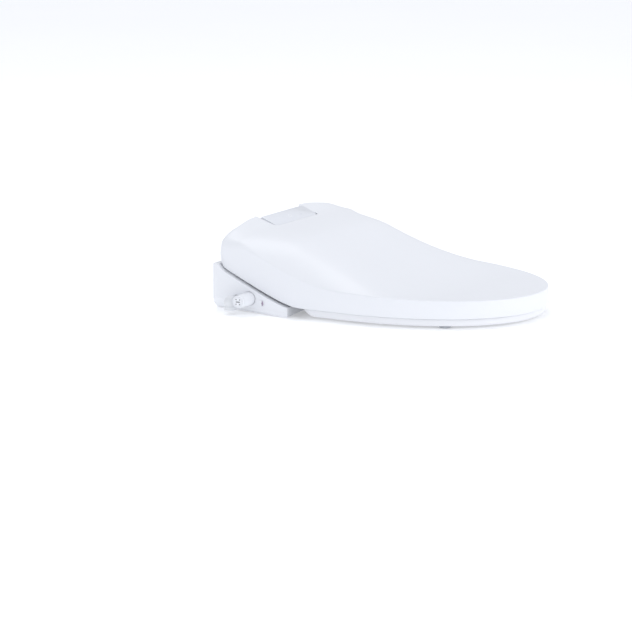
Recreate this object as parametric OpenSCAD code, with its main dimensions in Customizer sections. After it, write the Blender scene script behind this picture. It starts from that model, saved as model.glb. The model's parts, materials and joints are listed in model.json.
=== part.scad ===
// Electric bidet seat. Millimetres, +Z up, nose towards -Y, +X to the right seen from the front.
// The origin is midway between the two fixing holes, on the plane of the toilet rim.

/* [Lid] */
// Half of the lid's greatest width
lid_half_w = 188; // [186:1:189]
// Distance from the fixing holes to the lid's nose
nose_reach = 475; // [470:1:480]
// Length over which the nose widens to full width
nose_len = 274; // [265:1:280]
// Height of the crease at the nose
nose_z = 45.4; // [44:0.2:47]
// Height of the skirt's lower edge above the rim
skirt_z = 16.7; // [16.2:0.1:17.2]
// Wall thickness of the lid
lid_wall = 2.6; // [2.4:0.1:3]

/* [Seat] */
// Gap between the lid's outline and the seat's
seat_inset = 5; // [4.5:0.5:6]
// Half width of the seat's opening
hole_half_w = 106; // [100:1:110]
// Half length of the seat's opening
hole_half_l = 133; // [128:1:135]
// Height of the seat's underside at the front
seat_low_z = 4; // [3.5:0.5:5]
// Height of the seat's top at the front
seat_top_z = 34; // [32:1:35]

/* [Casing] */
// Half width of the rear casing
case_half_w = 194; // [193:1:196]
// Thickness of the casing's walls
case_wall = 2.4; // [2:0.1:2.6]
// Half width of the raised middle console
console_half_w = 66.5; // [66:0.5:66.5]

/* [Fixing and water] */
// Distance between the two fixing bolts
bolt_spacing = 140; // [130:1:160]
// Radius of the hole for a fixing bolt
bolt_hole_r = 3.3; // [3.1:0.1:3.6]
// Radius of the inlet's G1/2 thread over its crests
inlet_thread_r = 10.45; // [10:0.05:10.5]

/* [Hinge] */
// Distance of the hinge axis behind the fixing holes
hinge_y = 12; // [11:0.5:13]
// Height of the hinge axis above the rim
hinge_z = 108; // [107:0.5:109]
// Radius of the hinge shafts
shaft_r = 5; // [4.5:0.5:5]

/* [Nozzle] */
// Downward slope of the nozzle's travel in degrees
nozzle_slope = 35; // [34:1:36]
// Distance that the nozzle reaches out
// Radius of the nozzle wand
wand_r = 6; // [5.5:0.5:6]

/* [Hidden] */
$fn = 48;

nose_y = -nose_reach;
side_y = nose_y + nose_len;       // where the lid reaches its full width
nose_power = 2.11;                // exponent of the nose's superellipse
top_power = 6;                    // how flat the lid's top is across
lid_rear_y = 24;
lid_corner_r = 11;                // plan radius of the rear corners
notch_half_w = 68;
notch_y = -18;
front_steps = 30;
corner_steps = 7;
white = [0.95, 0.96, 0.97];
pale_grey = [0.86, 0.88, 0.91];
dark = [0.25, 0.26, 0.28];
brass = [0.78, 0.66, 0.36];
steel = [0.72, 0.73, 0.75];

// A curve that is level at first and then rises with a given slope
function soft_rise(t, bend, slope) = slope * (norm([max(t, 0), bend]) - bend);
function ease(t) = let (u = max(0, min(1, t))) u * u * (3 - 2 * u);

// Heights of the lid: its edge crease, its middle line, its top and its skirt's lower edge
function edge_z(y) = nose_z + 0.0175 * (y - nose_y) + soft_rise(min(y, -17) + 205, 150, 0.659);
function spine_z(y) = nose_z + soft_rise(y + 361, 146, 0.463) - soft_rise(y + 112, 30, 0.36)
    + soft_rise(y + 20, 15, 0.3);
function half_w(y) = let (u = max(0, 1 - (y - nose_y) / nose_len))
    lid_half_w * pow(max(1 - pow(u, nose_power), 0), 1 / nose_power);
function top_z(x, y) = let (w = max(half_w(y), 1))
    edge_z(y) + (spine_z(y) - edge_z(y)) * (1 - pow(min(abs(x) / w, 1), top_power));
function low_z(y) = y < 6 ? skirt_z + soft_rise(y + 135, 40, 0.48)
    : 96.6 - sqrt(max(32 * 32 - (y + 8) * (y + 8), 0));
function case_z(y) = low_z(min(y, 20)) - 3.7;

// Half of the lid's outline, from the nose round to the middle of the notch. Each entry is
// [x, y, height of the wall's lower edge, inward lean of that edge, x and y of the inner line].
lid_mid = [0, -230];
inner_share = 0.93;
inner_y = -24;                    // the inner line runs straight across in front of the notch
lobe_x = lid_half_w - lid_corner_r;
lobe_y = lid_rear_y - lid_corner_r;
skirt_rear_h = 22;                // height of the skirt along the rear edge
function inner_of(x, y) = [x * inner_share,
    min(lid_mid[1] + (y - lid_mid[1]) * inner_share, inner_y)];
lobe_inner_x = 92;
notch_inner_x = 70;
side_rear_y = -14;                // behind it the inner line turns across to the notch
lobe_steps = corner_steps + 13;
function lobe_inner(i) = let (a = inner_of(lid_half_w, side_rear_y), t = i / lobe_steps)
    [a[0] + (lobe_inner_x - a[0]) * t, a[1] + (inner_y - a[1]) * t];
lid_half = concat(
    [for (i = [0 : front_steps]) let (f = 90 * i / front_steps,
        y = side_y - nose_len * pow(max(cos(f), 0), 2 / nose_power),
        x = lid_half_w * pow(sin(f), 2 / nose_power)) [x, y, low_z(y), 0, each inner_of(x, y)]],
    [for (i = [1 : 12]) let (y = side_y + (side_rear_y - side_y) * i / 12)
        [lid_half_w, y, low_z(y), 0, each inner_of(lid_half_w, y)]],
    [for (i = [1 : 5]) let (y = side_rear_y + (lobe_y - side_rear_y) * i / 5)
        [lid_half_w, y, low_z(y), 0, each lobe_inner(i)]],
    [for (i = [1 : corner_steps]) let (f = 90 * i / corner_steps,
        x = lobe_x + lid_corner_r * cos(f), y = lobe_y + lid_corner_r * sin(f), m = ease(i / corner_steps))
        [x, y, low_z(y) * (1 - m) + (top_z(x, y) - skirt_rear_h) * m, 0, each lobe_inner(i + 5)]],
    [for (i = [1 : 8]) let (x = lobe_x - (lobe_x - notch_half_w) * i / 8)
        [x, lid_rear_y, top_z(x, lid_rear_y) - skirt_rear_h, 0, each lobe_inner(i + 5 + corner_steps)]],
    [for (i = [1 : 6]) let (y = lid_rear_y - (lid_rear_y - notch_y) * i / 6)
        [notch_half_w, y, top_z(notch_half_w, y) - skirt_rear_h + 17 * ease((lid_rear_y - y - 2) / 12),
         i == 6 ? 1.5 : 0, lobe_inner_x + (notch_inner_x - lobe_inner_x) * i / 6, inner_y]],
    [for (i = [1 : 5]) let (x = notch_half_w * (1 - i / 6))
        [x, notch_y, top_z(x, notch_y) - 5, 3, x * notch_inner_x / notch_half_w, inner_y]]);
lid_n = len(lid_half);
lid_outline = concat(lid_half, [[0, notch_y, top_z(0, notch_y) - 5, 3, 0, inner_y]],
    [for (i = [lid_n - 1 : -1 : 1]) let (p = lid_half[i]) [-p[0], p[1], p[2], p[3], -p[4], p[5]]]);
// Outward directions in plan
lid_out = [for (i = [0 : len(lid_outline) - 1]) let (n = len(lid_outline),
    a = lid_outline[(i + n - 1) % n], b = lid_outline[(i + 1) % n], d = [b[0] - a[0], b[1] - a[1]])
    [d[1], -d[0]] / norm(d)];

// Rings of the lid: between its outline and the inner line, and from there to the middle
function lid_ring(inset, share, drop) = [for (i = [0 : len(lid_outline) - 1]) let (p = lid_outline[i],
    q = ([p[0], p[1]] - lid_out[i] * inset) * (1 - share) + [p[4], p[5]] * share)
    [q[0], q[1], top_z(q[0], q[1]) - drop]];
function lid_inner_ring(share, drop) = [for (p = lid_outline)
    let (q = lid_mid + ([p[4], p[5]] - lid_mid) * share)
    [q[0], q[1], top_z(q[0], q[1]) - drop]];
function lid_low_ring(inset) = [for (i = [0 : len(lid_outline) - 1]) let (p = lid_outline[i],
    q = [p[0], p[1]] - lid_out[i] * (inset + p[3])) [q[0], q[1], p[2]]];
lid_shares = [0.86, 0.72, 0.58, 0.42, 0.26, 0.1];

// Joins rings of equal length. Closed rings of rings make a tube bent round on itself.
module skin_rings(rings, looped) {
    n = len(rings[0]);
    m = len(rings);
    points = [for (ring = rings) for (p = ring) p];
    sides = [for (j = [0 : (looped ? m - 1 : m - 2)]) for (i = [0 : n - 1])
        let (a = j * n + i, b = j * n + (i + 1) % n, c = ((j + 1) % m) * n + i,
            d = ((j + 1) % m) * n + (i + 1) % n)
        each [[a, c, b], [b, c, d]]];
    first = [for (i = [1 : n - 2]) [0, i, i + 1]];
    last = [for (i = [1 : n - 2]) [(m - 1) * n, (m - 1) * n + i + 1, (m - 1) * n + i]];
    polyhedron(points, looped ? sides : concat(sides, first, last), convexity = 8);
}

// A round tube along a few points, for springs and hoses
function frame_at(path, i) = let (n = len(path), t = path[min(i + 1, n - 1)] - path[max(i - 1, 0)],
    u = t / norm(t), h = abs(u[2]) < 0.9 ? [0, 0, 1] : [1, 0, 0], s = cross(h, u) / norm(cross(h, u)))
    [s, cross(u, s)];
module tube_along(path, r, sides) {
    skin_rings([for (i = [0 : len(path) - 1]) let (f = frame_at(path, i))
        [for (k = [0 : sides - 1]) let (g = -360 * k / sides)
            path[i] + r * (cos(g) * f[0] + sin(g) * f[1])]], false);
}
module coil(r, wire, pitch, turns) {
    steps = 10;
    tube_along([for (i = [0 : turns * steps]) let (g = 360 * i / steps)
        [r * cos(g), r * sin(g), wire + pitch * i / steps]], wire, 6);
}

// Shapes that several sub-parts share
module block(low, high) {
    translate(low) cube(high - low);
}
module along_x(x0, x1, r) {
    translate([x0, 0, 0]) rotate([0, 90, 0]) cylinder(r = r, h = x1 - x0);
}
module profile_along_x(x0, x1, points) {
    translate([x0, 0, 0]) rotate([90, 0, 90]) linear_extrude(height = x1 - x0) polygon(points);
}
module both_sides() {
    children();
    mirror([1, 0, 0]) children();
}
module at_hinge() {
    translate([0, hinge_y, hinge_z]) children();
}
module at_nozzle() {
    translate([0, nozzle_mouth_y, nozzle_mouth_z]) rotate([nozzle_slope, 0, 0]) children();
}

// ---- Fixing to the toilet ----
module mounting_plate() {
    color(white) difference() {
        block([-108, -46, 1.5], [108, 34, 4]);
        for (s = [-1, 1]) translate([s * bolt_spacing / 2, 0, 0])
            block([-21, -17, 0], [21, 17, 6]);
        block([-16, -50, 0], [16, -28, 6]);
    }
}
module bolt_adjusters() {
    color(steel) for (s = [-1, 1]) translate([s * bolt_spacing / 2, 0, 0]) difference() {
        union() {
            block([-20.9, -16.9, 1.5], [20.9, 16.9, 4]);
            cylinder(r = 8.6, h = 2);
        }
        translate([0, 0, -1]) cylinder(r = bolt_hole_r, h = 6);
    }
}
module grip_pad() {
    color(dark) difference() {
        block([-106, -44, 0], [106, 32, 1.5]);
        for (s = [-1, 1]) translate([s * bolt_spacing / 2, 0, -1]) cylinder(r = 9, h = 4);
    }
}

// ---- Casing ----
split_z = 9;
base_z = 0.4;
// The lower side edges are cut off in a wedge that grows towards the rear, more on the inlet's side.
// A grown wedge keeps the wall's thickness behind the cut.
module edge_wedge(width, height, grow) {
    low = base_z - 0.1;
    side = case_half_w + 1;
    front = -112 - 158 * grow / width;
    polyhedron([[-side, front, low], [-side, 46, low], [-side + width + grow, 46, low],
        [-side, 46, low + height + grow]], [[0, 2, 1], [0, 1, 3], [1, 2, 3], [0, 3, 2]]);
}
module edge_chamfers(grow) {
    edge_wedge(27, 25, grow);
    mirror([1, 0, 0]) edge_wedge(13, 14, grow);
}
case_front_y = -104.5;
case_rear_y = 38;
case_plan = [[-case_half_w, -113], [-132, case_front_y], [132, case_front_y], [case_half_w, -113],
    [case_half_w, 22], [190, 32], [178, case_rear_y], [-178, case_rear_y], [-190, 32], [-case_half_w, 22]];
module case_column(inset, low, high) {
    translate([0, 0, low]) linear_extrude(height = high - low) polygon([for (p = case_plan)
        [p[0] * (1 - inset / case_half_w), -30 + (p[1] + 30) * (1 - inset / 74)]]);
}
wing_top = concat([for (i = [0 : 16]) let (y = -116 + 122 * i / 16) [y, case_z(y)]],
    [for (y = [9, 12, 15, 17.5, 20]) [y, case_z(y)]], [[31, case_z(20)], [46, case_z(20) - 9]]);
hood_top = [[case_front_y, 38], [-96, 54], [-84, 72], [-70, 82], [-50, 92], [-30, 106], [-17, 118]];
console_top = concat(hood_top, [[-15.5, 123], [16, 135.5], [22, 131.5], [40, 84], [46, 66]]);
module wing_profile(x0, x1, low, drop) {
    profile_along_x(x0, x1, concat([[-116, low]], [for (p = wing_top) [p[0], p[1] - drop]],
        [[46, low]]));
}
module console_profile(half, low, drop) {
    profile_along_x(-half, half, concat([[case_front_y + drop, low]],
        [for (p = console_top) [p[0] + drop * (p[0] < 10 ? 0.6 : -1), p[1] - drop]],
        [[46 - drop, low]]));
}
module case_solid(inset) {
    intersection() {
        case_column(inset, split_z - 1, 150);
        union() {
            wing_profile(-200, 200, split_z, inset);
            console_profile(42 - inset, split_z, inset);
            intersection() {
                console_profile(console_half_w - inset, split_z, inset);
                block([-80, -52, 0], [80, 50, 150]);
            }
        }
    }
}
nozzle_mouth_y = case_front_y;
nozzle_mouth_z = 21;
door_w = 28;
door_top_z = 35.4;
module upper_casing() {
    color(white) difference() {
        case_solid(0);
        difference() {
            case_solid(case_wall);
            block([-70, -10, 133.5], [70, 20, 140]);
            edge_chamfers(3.4);
        }
        block([-200, -120, split_z - 2], [200, 60, split_z]);
        block([-14.6, -110, 0], [14.6, -96, 35.9]);
        block([55, -110, 0], [91, -99, 14.8]);
        block([-62, -17, 121], [62, 17, 125.5]);
        edge_chamfers(0);
        translate([0, filter_y, filter_z]) along_x(-200, -180, 11.8);
        translate([0, inlet_y, inlet_z]) along_x(-200, -180, 9);
        translate([0, button_y, button_z]) along_x(-200, -185, 5.4);
        block([186, -72.4, 10.6], [200, -45.6, 23.2]);
        both_sides() at_hinge() along_x(60, 70, shaft_r + 0.05);
        translate([lens_x, lens_y, 120]) cylinder(r = lens_r + 0.05, h = 20);
        translate([0, gland_y, gland_z]) along_x(180, 200, 6.6);
    }
}
module base_casing() {
    color(white) difference() {
        case_column(0, base_z, split_z);
        difference() {
            case_column(case_wall, 6.4, split_z + 1);
            edge_chamfers(3.4);
        }
        block([-14.6, -110, 0], [14.6, -88, 12]);
        block([-110, -48, 0], [110, 60, 4.2]);
        for (x = screw_xs) translate([x, 30, 4]) cylinder(r = 3.3, h = 3);
        edge_chamfers(0);
    }
}
lens_x = 30;
lens_y = -4;
lens_r = 1.6;
module top_panel() {
    color(pale_grey) difference() {
        profile_along_x(-console_half_w, console_half_w,
            [[-16.4, 122.9], [-16.4, 124.7], [15, 137.2], [15.8, 135.6]]);
        for (s = [-1, 1]) translate([s * console_half_w, -16.4, 110]) rotate([0, 0, s > 0 ? 135 : 45])
            block([-6, -2, 0], [6, 2, 40]);
        translate([lens_x, lens_y, 120]) cylinder(r = lens_r, h = 20);
    }
}
module indicator_lens() {
    color([0.75, 0.85, 0.9]) translate([lens_x, lens_y, 120]) intersection() {
        cylinder(r = lens_r, h = 20);
        block([-3, -3, 0], [3, 3, 9.5]);
    }
}
screw_xs = [-150, -60, 60, 150];
module casing_screws() {
    color(steel) for (x = screw_xs) translate([x, 30, 4.4]) difference() {
        cylinder(r = 3.2, h = 1.9);
        for (g = [0, 90]) rotate([0, 0, g]) block([-1.8, -0.4, -1], [1.8, 0.4, 0.8]);
    }
}

// ---- Water inlet, filter and valves, on the left ----
filter_y = -40;
filter_z = 25;
inlet_y = -16.5;
inlet_z = 20;
button_y = -64;
button_z = 19.5;
gland_y = 12;
gland_z = 30;
module inlet_body() {
    color([0.8, 0.81, 0.83]) difference() {
        union() {
            block([-182, -53, 10], [-150, -4, 35]);
            translate([0, filter_y, filter_z]) along_x(-188, -181, 13.6);
            translate([0, inlet_y, inlet_z]) along_x(-188, -181, 8.6);
        }
        translate([0, filter_y, filter_z]) along_x(-190, -160, 9.2);
        translate([0, inlet_y, inlet_z]) along_x(-190, -160, 5.2);
    }
}
elbow_x = -214;
thread_low_z = 7.4;
thread_high_z = 13.4;
module inlet_elbow() {
    color([0.9, 0.91, 0.93]) difference() {
        union() {
            translate([0, inlet_y, inlet_z]) along_x(elbow_x, -188.2, 6.4);
            translate([0, inlet_y, inlet_z]) along_x(-199, -188.2, 8.4);
            translate([elbow_x, inlet_y, inlet_z]) sphere(r = 10.8);
            translate([elbow_x, inlet_y, thread_high_z]) cylinder(r = 9.8, h = inlet_z - thread_high_z);
            translate([elbow_x, inlet_y, thread_low_z])
                cylinder(r = inlet_thread_r, h = thread_high_z - thread_low_z);
        }
        translate([0, inlet_y, inlet_z]) along_x(elbow_x, -180, 4.4);
        translate([elbow_x, inlet_y, 0]) cylinder(r = 4.4, h = inlet_z);
    }
}
module inlet_washer() {
    color(dark) difference() {
        translate([0, inlet_y, inlet_z]) along_x(-189.2, -188.2, 10.2);
        translate([0, inlet_y, inlet_z]) along_x(-190, -188, 8.45);
        edge_chamfers(3.6);
    }
}
cap_face_x = -229;
module filter_cap() {
    color(white) translate([0, filter_y, filter_z]) difference() {
        union() {
            along_x(cap_face_x, -224, 10.1);
            along_x(-224, -199, 10.8);
            along_x(-199, -194.2, 11.4);
            along_x(-194.2, -189.3, 10.6);
            along_x(-189.3, -170, 8.2);
        }
        difference() {
            along_x(cap_face_x - 1, cap_face_x + 0.8, 8.6);
            along_x(cap_face_x - 2, cap_face_x + 1, 7.8);
        }
        block([cap_face_x - 1, -3.6, -0.7], [cap_face_x + 1.6, 3.6, 0.7]);
        for (v = [-1, 1], w = [-1, 1]) translate([0, v * 3.4, w * 3.4])
            along_x(cap_face_x - 1, cap_face_x + 1, 0.7);
        difference() {
            along_x(-181, -177, 9);
            along_x(-182, -176, 6.9);
        }
    }
}
module filter_mesh() {
    color(steel) translate([0, filter_y, filter_z]) difference() {
        along_x(-170, -161.5, 6.4);
        along_x(-169, -160, 5.6);
    }
}
module cap_o_ring() {
    color(dark) translate([-179, filter_y, filter_z]) rotate([0, 90, 0])
        rotate_extrude() translate([7.9, 0]) circle(r = 0.95, $fn = 16);
}
module release_button() {
    color(white) translate([0, button_y, button_z]) {
        along_x(-195.6, -186, 5.1);
        along_x(-186, -184, 6.8);
        along_x(-184, -176, 2);
    }
}
module button_spring() {
    color(steel) translate([-183.9, button_y, button_z]) rotate([0, 90, 0]) coil(3.2, 0.35, 1.6, 6);
}
module solenoid_valve() {
    color([0.3, 0.35, 0.5]) translate([-134, -30, 7]) difference() {
        union() {
            block([-15, -13, 0], [15, 13, 9]);
            translate([0, 0, 9]) cylinder(r = 11, h = 17);
        }
        translate([0, 0, 6]) cylinder(r = 4.05, h = 18);
    }
}
module valve_plunger() {
    color(steel) translate([-134, -30, 13.4]) cylinder(r = 4, h = 9);
}
module plunger_spring() {
    color(steel) translate([-134, -30, 22.6]) coil(2.6, 0.3, 1.4, 5);
}
module flow_sensor() {
    color(dark) translate([-134, 4, 8]) {
        block([-14, -8, 0], [14, 14, 10]);
        translate([0, 3, 10]) cylinder(r = 8, h = 6);
    }
}
module heater_tank() {
    color([0.86, 0.84, 0.78]) difference() {
        block([-112, -72, 8], [-76, 30, 27]);
        translate([-94, 26, 17.5]) rotate([90, 0, 0]) cylinder(r = 6.4, h = 92);
    }
}
module heater_element() {
    color([0.93, 0.92, 0.9]) translate([-94, 25.9, 17.5]) rotate([90, 0, 0]) difference() {
        cylinder(r = 5.2, h = 90);
        translate([0, 0, 3]) cylinder(r = 3.4, h = 84);
    }
}
module diverter_valve() {
    color(brass) translate([-52, -36, 8]) {
        cylinder(r = 11, h = 16);
        translate([0, 0, 8]) rotate([0, 90, 0]) cylinder(r = 3, h = 16);
    }
}
module diverter_motor() {
    color(steel) translate([-52, -36, 24]) {
        cylinder(r = 10, h = 12);
        translate([0, 0, 12]) cylinder(r = 2.5, h = 4);
    }
}
hose_r = 3;
hose_routes = [
    [[-149.8, -40, 22], [-147, -40, 22], [-143.5, -42.5, 22.6], [-140, -48, 22], [-136, -53, 20],
     [-128, -59, 15], [-119, -62, 13], [-112.2, -62, 13]],
    [[-75.8, -60, 18], [-72, -60, 18], [-66, -60, 17.6], [-58, -59, 17], [-53.5, -56.5, 16.2],
     [-52, -52, 16], [-52, -47.2, 16]],
    [[-35.8, -36, 16], [-33, -36, 16], [-29.6, -33.5, 19.5], [-27.5, -27, 32], [-25, -14, 56],
     [-22, -4, 74], [-17, 4, 88]]];
module internal_hoses() {
    color([0.75, 0.8, 0.85]) for (route = hose_routes) tube_along(route, hose_r, 8);
}
module cord_gland() {
    color(white) translate([0, gland_y, gland_z]) difference() {
        union() {
            along_x(189.4, 194.1, 6.5);
            along_x(194.1, 199, 8);
            along_x(186.4, 189.4, 8);
        }
        along_x(180, 200, 3.7);
    }
}

// ---- Wash nozzle. Its local -Y is the way out, its local +Z is square to it ----
tip_y = 38;
wand_y = 50;
wand_end = 146;
pinion_y = 56;
pinion_teeth = 16;
pinion_r = 8;
tooth_pitch = 2 * PI * pinion_r / pinion_teeth;
rack_line = wand_r + 1.7;
module nozzle_wand() {
    color(steel) at_nozzle() difference() {
        translate([0, wand_end, 0]) rotate([90, 0, 0]) cylinder(r = wand_r, h = wand_end - wand_y);
        translate([0, wand_end + 1, 0]) rotate([90, 0, 0]) cylinder(r = 2, h = 80);
        block([-2.2, wand_y - 1, wand_r - 0.6], [2.2, wand_end + 1, wand_r + 1]);
    }
}
module nozzle_tip() {
    color(white) at_nozzle() difference() {
        union() {
            translate([0, wand_y, 0]) rotate([90, 0, 0]) cylinder(r = wand_r, h = wand_y - tip_y - wand_r);
            translate([0, tip_y + wand_r, 0]) sphere(r = wand_r);
        }
        for (y = [-1.6, 1.6], x = [-1.6, 1.6]) translate([x, tip_y + 7 + y, wand_r - 3]) cylinder(r = 0.5, h = 4);
    }
}
module nozzle_rack() {
    color(white) at_nozzle() {
        block([-2, wand_y + 2, wand_r - 0.6], [2, wand_end, rack_line - 1]);
        for (i = [-1 : floor((wand_end - pinion_y) / tooth_pitch) - 1])
            translate([-2, pinion_y + (i + 0.5) * tooth_pitch, rack_line]) rotate([90, 0, 90])
                linear_extrude(height = 4)
                    polygon([[-0.85, -1.2], [0.85, -1.2], [0.25, 0.8], [-0.25, 0.8]]);
    }
}
module nozzle_pinion() {
    color([0.9, 0.88, 0.8]) at_nozzle() translate([-2, pinion_y, rack_line + pinion_r]) rotate([0, 90, 0])
        difference() {
            union() {
                cylinder(r = pinion_r - 1.2, h = 4);
                for (i = [0 : pinion_teeth - 1]) rotate([0, 0, 360 * i / pinion_teeth])
                    linear_extrude(height = 4) polygon([[pinion_r - 1.5, -0.8], [pinion_r - 1.5, 0.8],
                        [pinion_r + 0.7, 0.25], [pinion_r + 0.7, -0.25]]);
            }
            translate([0, 0, -1]) cylinder(r = 1.55, h = 6);
        }
}
module nozzle_motor() {
    color(steel) at_nozzle() translate([0, pinion_y, rack_line + pinion_r]) {
        along_x(-3.6, 5, 1.5);
        along_x(5, 24, 10.4);
    }
}
module nozzle_guide() {
    color(white) at_nozzle() difference() {
        block([-9, 34, -9], [9, 122, 5]);
        translate([0, 150, 0]) rotate([90, 0, 0]) cylinder(r = wand_r + 0.3, h = 130);
        block([-4, 20, 0], [4, 150, 10]);
    }
}
module nozzle_door() {
    color(white) {
        translate([0, case_front_y + 1.2, door_top_z - 1.2]) along_x(-door_w / 2, door_w / 2, 1.1);
        block([-door_w / 2, case_front_y + 0.4, 10.4], [door_w / 2, case_front_y + 2, door_top_z - 1.4]);
    }
}

// ---- Dryer and deodorizer, on the right ----
fan_x = 104;
fan_y = -14;
module fan_housing() {
    color(dark) difference() {
        union() {
            translate([fan_x, fan_y, 7]) cylinder(r = 27, h = 28);
            block([fan_x - 30, fan_y - 34, 7], [fan_x - 12, fan_y, 21]);
        }
        translate([fan_x, fan_y, 9]) cylinder(r = 24, h = 24);
        block([fan_x - 28, fan_y - 40, 9], [fan_x - 14, fan_y, 19]);
        translate([fan_x, fan_y, 30]) cylinder(r = 12, h = 10);
    }
}
module dryer_motor() {
    color(steel) translate([fan_x, fan_y, 9]) {
        cylinder(r = 10, h = 14);
        cylinder(r = 1.5, h = 20);
    }
}
module fan_wheel(outer_r, inner_r, bore_r, low, high, blades) {
    difference() {
        translate([0, 0, high - 1.6]) cylinder(r = outer_r, h = 1.6);
        translate([0, 0, high - 3]) cylinder(r = bore_r, h = 5);
    }
    for (i = [0 : blades - 1]) rotate([0, 0, 360 * i / blades]) translate([inner_r, 0, low])
        rotate([0, 0, 24]) block([0, -0.5, 0], [outer_r - inner_r - 1, 0.5, high - low - 1.6]);
}
module dryer_impeller() {
    color([0.35, 0.37, 0.4]) translate([fan_x, fan_y, 0]) fan_wheel(22, 13, 1.55, 11, 27, 16);
}
module dryer_duct() {
    color(dark) difference() {
        block([fan_x - 30, -102, 7], [fan_x - 12, fan_y - 34, 15.4]);
        block([fan_x - 28, -103, 9], [fan_x - 14, fan_y - 30, 13.8]);
    }
}
module dryer_heater() {
    color([0.8, 0.5, 0.3]) for (i = [0 : 5]) block([fan_x - 28, -90 + 7 * i, 10.6], [fan_x - 14, -88.6 + 7 * i, 12.4]);
}
flap_z = 13.6;
module dryer_flap() {
    color(white) {
        translate([0, case_front_y + 1.2, flap_z]) along_x(56, 90, 0.9);
        block([56, case_front_y + 0.4, split_z + 0.4], [90, case_front_y + 1.8, flap_z]);
    }
}
deo_x = 158;
deo_y = -22;
module deodorizer_housing() {
    color(dark) difference() {
        union() {
            translate([deo_x, deo_y, 7]) cylinder(r = 19, h = 24);
            block([deo_x - 4, -74, 7], [187, deo_y, 25.4]);
        }
        translate([deo_x, deo_y, 9]) cylinder(r = 17, h = 20);
        block([deo_x - 2, -72, 10.2], [200, -46, 23.4]);
        block([deo_x, -48, 12], [deo_x + 14, -36, 20]);
    }
}
module deodorizer_impeller() {
    color([0.35, 0.37, 0.4]) translate([deo_x, deo_y, 0]) {
        fan_wheel(14, 7, 0.01, 12, 24, 12);
    }
}
module deodorizer_cartridge() {
    color(pale_grey) {
        block([deo_x, -71, 11], [191, -47, 22.4]);
        block([190, -71.8, 11], [193.8, -46.2, 22.8]);
    }
}

// ---- Electronics ----
module control_board() {
    color([0.1, 0.4, 0.25]) {
        block([44, -30, 46], [45.6, 22, 96]);
        for (i = [0 : 3]) block([45.6, -26 + 12 * i, 54], [50, -18 + 12 * i, 78]);
    }
}
module power_board() {
    color([0.1, 0.4, 0.25]) {
        block([100, 14.5, 10], [170, 35, 11.6]);
        for (i = [0 : 3]) block([106 + 16 * i, 17, 11.6], [116 + 16 * i, 31, 24]);
    }
}
module night_light() {
    color([0.7, 0.85, 1]) block([-38, -101.8, 30], [-26, -100, 34]);
}

// ---- Hinges ----
module hinge_shafts() {
    color(steel) both_sides() at_hinge() {
        along_x(50, 94, shaft_r);
        along_x(48, 50, 8);
    }
}
module seat_damper() {
    color(dark) at_hinge() along_x(20, 47.8, 9);
}
module lid_damper() {
    color(dark) at_hinge() along_x(-47.8, -20, 9);
}

// ---- Seat ----
seat_rear_y = -118;
seat_mid = [0, -290];
hole_power = 2.3;
seat_half = concat(
    [for (i = [0 : 22]) let (f = 90 * i / 22)
        [(lid_half_w - seat_inset) * pow(sin(f), 2 / nose_power),
         side_y - (nose_len - seat_inset) * pow(max(cos(f), 0), 2 / nose_power)]],
    [[lid_half_w - seat_inset, side_y + 20], [lid_half_w - seat_inset, side_y + 40]],
    [for (i = [1 : 6]) let (f = 90 * i / 6) [lid_half_w - seat_inset - 36 + 36 * cos(f), seat_rear_y - 38 + 38 * sin(f)]],
    [for (i = [1 : 6]) [(lid_half_w - seat_inset - 36) * (1 - i / 7), seat_rear_y]]);
seat_n = len(seat_half);
seat_outline = concat(seat_half, [[0, seat_rear_y]],
    [for (i = [seat_n - 1 : -1 : 1]) [-seat_half[i][0], seat_half[i][1]]]);
function hole_point(p) = let (d = p - seat_mid,
    k = pow(pow(abs(d[0]) / hole_half_w, hole_power) + pow(abs(d[1]) / hole_half_l, hole_power), 1 / hole_power))
    seat_mid + d / k;
function bridge(p) = ease((p[1] + 185) / 35) * (1 - ease((abs(p[0]) - 45) / 40));
function seat_bottom(p) = seat_low_z + max(34 * bridge(p), 11 * ease((p[1] + 158) / 38));
function seat_top(p) = seat_top_z + 0.0016 * pow(max(p[1] + 230, 0), 2)
    + 12 * ease((p[1] + 200) / 60) * (1 - ease((abs(p[0]) - 60) / 60));
function seat_parting(p) = seat_bottom(p) + 12;
// A ring of the seat: a share of the way from the hole to the outline, then moved outwards
function seat_ring(share, out, height, kind) = [for (p = seat_outline) let (h = hole_point(p),
    u = (p - h) / norm(p - h), q = h + (p - h) * share + u * out)
    [q[0], q[1], height + (kind == 0 ? seat_bottom(p) : kind == 1 ? seat_parting(p) : seat_top(p))]];
seat_wall = 2.8;
module seat_upper_shell() {
    color(white) skin_rings([seat_ring(1, 0, 0.1, 1), seat_ring(1, 0, -9, 2), seat_ring(1, -3, -3.4, 2),
        seat_ring(1, -9, -0.4, 2), seat_ring(0.7, 0, 0, 2), seat_ring(0.4, 0, -1.6, 2), seat_ring(0, 10, -3, 2),
        seat_ring(0, 3, -6, 2), seat_ring(0, 0, -12, 2), seat_ring(0, 0, 0.1, 1),
        seat_ring(0, seat_wall, 0.1, 1), seat_ring(0, seat_wall, -13, 2), seat_ring(0, 10, -6, 2),
        seat_ring(0.5, 0, -4, 2), seat_ring(1, -9, -4, 2), seat_ring(1, -seat_wall, -10, 2),
        seat_ring(1, -seat_wall, 0.1, 1)], true);
}
module seat_lower_shell() {
    color(white) skin_rings([seat_ring(1, -seat_wall, -0.1, 1), seat_ring(1, -seat_wall, 3.5, 0),
        seat_ring(0, seat_wall, 3.5, 0), seat_ring(0, seat_wall, -0.1, 1), seat_ring(0, 0, -0.1, 1),
        seat_ring(0, 0, 3, 0), seat_ring(0, 2.5, 0, 0), seat_ring(1, -3, 0, 0), seat_ring(1, 0, 3, 0),
        seat_ring(1, 0, -0.1, 1)], true);
}
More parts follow.
